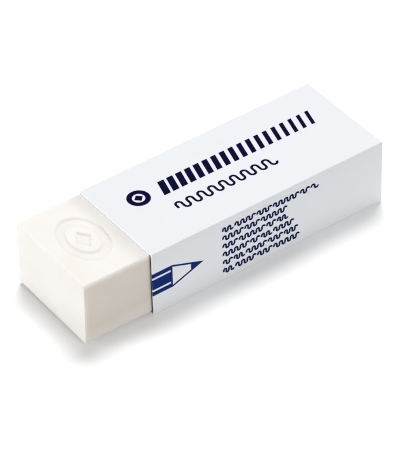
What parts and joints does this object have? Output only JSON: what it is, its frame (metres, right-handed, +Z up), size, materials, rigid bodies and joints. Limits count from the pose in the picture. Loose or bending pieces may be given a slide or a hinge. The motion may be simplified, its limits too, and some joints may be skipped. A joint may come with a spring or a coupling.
{
  "type": "vinyl eraser in a card sleeve",
  "caption": "White vinyl block eraser that slides in a folded card sleeve, its rubbing end sticking out.",
  "frame": {"origin": "middle of the whole eraser's footprint, in the plane the sleeve's underside rests on", "axes": "+X along the length towards the sleeve's far end, so the rubbing end is at -X; +Y towards the back panel, the printed side panel faces -Y; +Z up"},
  "size_m": [0.0654, 0.0222, 0.0139],
  "materials": {
    "vinyl": "matt moulded vinyl, warm white, slightly translucent",
    "board": "white coated board, satin",
    "ink": "navy blue offset ink on coated board"
  },
  "bodies": {
    "sleeve": {"card_sleeve": "board"},
    "block": {"eraser_block": "vinyl"}
  },
  "joints": [
    {"name": "block_slide", "type": "slide", "parent": "sleeve", "child": "block", "axis": [1, 0, 0], "range_m": [-0.052, 0.066]}
  ]
}
